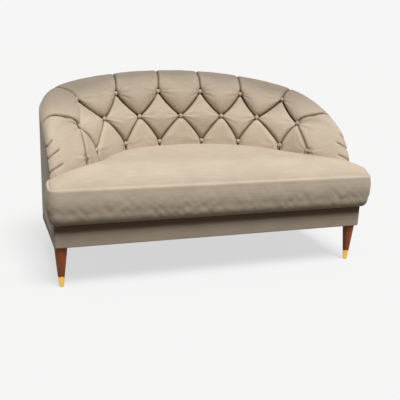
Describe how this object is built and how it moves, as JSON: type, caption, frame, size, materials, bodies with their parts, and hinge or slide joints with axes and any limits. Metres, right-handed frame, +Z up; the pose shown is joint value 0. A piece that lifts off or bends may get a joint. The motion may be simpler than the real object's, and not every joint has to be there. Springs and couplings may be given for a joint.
{
  "type": "loveseat",
  "caption": "Two-seat sofa with a deep-buttoned tub back sweeping down into low arms, a loose T-shaped seat cushion and tapered legs with metal tips.",
  "frame": {"origin": "on the floor, under the middle of the whole seat's box", "axes": "+Z up, +X along the width, -Y out of the front"},
  "size_m": [1.4864, 0.825, 0.854],
  "materials": {
    "upholstery": "soft woven with a low sheen",
    "leg_wood": "red-brown stain, satin",
    "brass": "polished",
    "bolt_steel": "zinc plated",
    "frame_wood": "sawn",
    "webbing": "woven",
    "platform_cloth": "plain weave",
    "dust_cloth": "matt",
    "foam": "open cell"
  },
  "bodies": {
    "frame": {"front_border": "upholstery", "inside_back": "upholstery", "back_buttons": "upholstery", "outside_cover": "upholstery", "legs_front": "leg_wood", "legs_rear": "leg_wood", "ferrules_front": "brass", "ferrules_rear": "brass", "hanger_bolts": "bolt_steel", "corner_block_front_left": "frame_wood", "corner_block_front_right": "frame_wood", "corner_block_rear_left": "frame_wood", "corner_block_rear_right": "frame_wood", "side_rail_left": "frame_wood", "side_rail_right": "frame_wood", "front_rail": "frame_wood", "rear_rail": "frame_wood", "centre_rail": "frame_wood", "lower_hoop": "frame_wood", "seat_hoop": "frame_wood", "hoop_block_left": "frame_wood", "hoop_block_centre": "frame_wood", "hoop_block_right": "frame_wood", "top_rail": "frame_wood", "upright_centre": "frame_wood", "upright_left_1": "frame_wood", "upright_left_2": "frame_wood", "upright_left_3": "frame_wood", "upright_right_1": "frame_wood", "upright_right_2": "frame_wood", "upright_right_3": "frame_wood", "arm_panel_left": "frame_wood", "arm_panel_right": "frame_wood", "seat_webbing": "webbing", "seat_deck": "platform_cloth", "dust_cover": "dust_cloth"},
    "cushion": {"cushion_cover": "upholstery", "cushion_foam": "foam"}
  },
  "joints": [
    {"name": "cushion_lift", "type": "slide", "parent": "frame", "child": "cushion", "axis": [0, -0.7071, 0.7071], "range_m": [0, 0.6]}
  ]
}
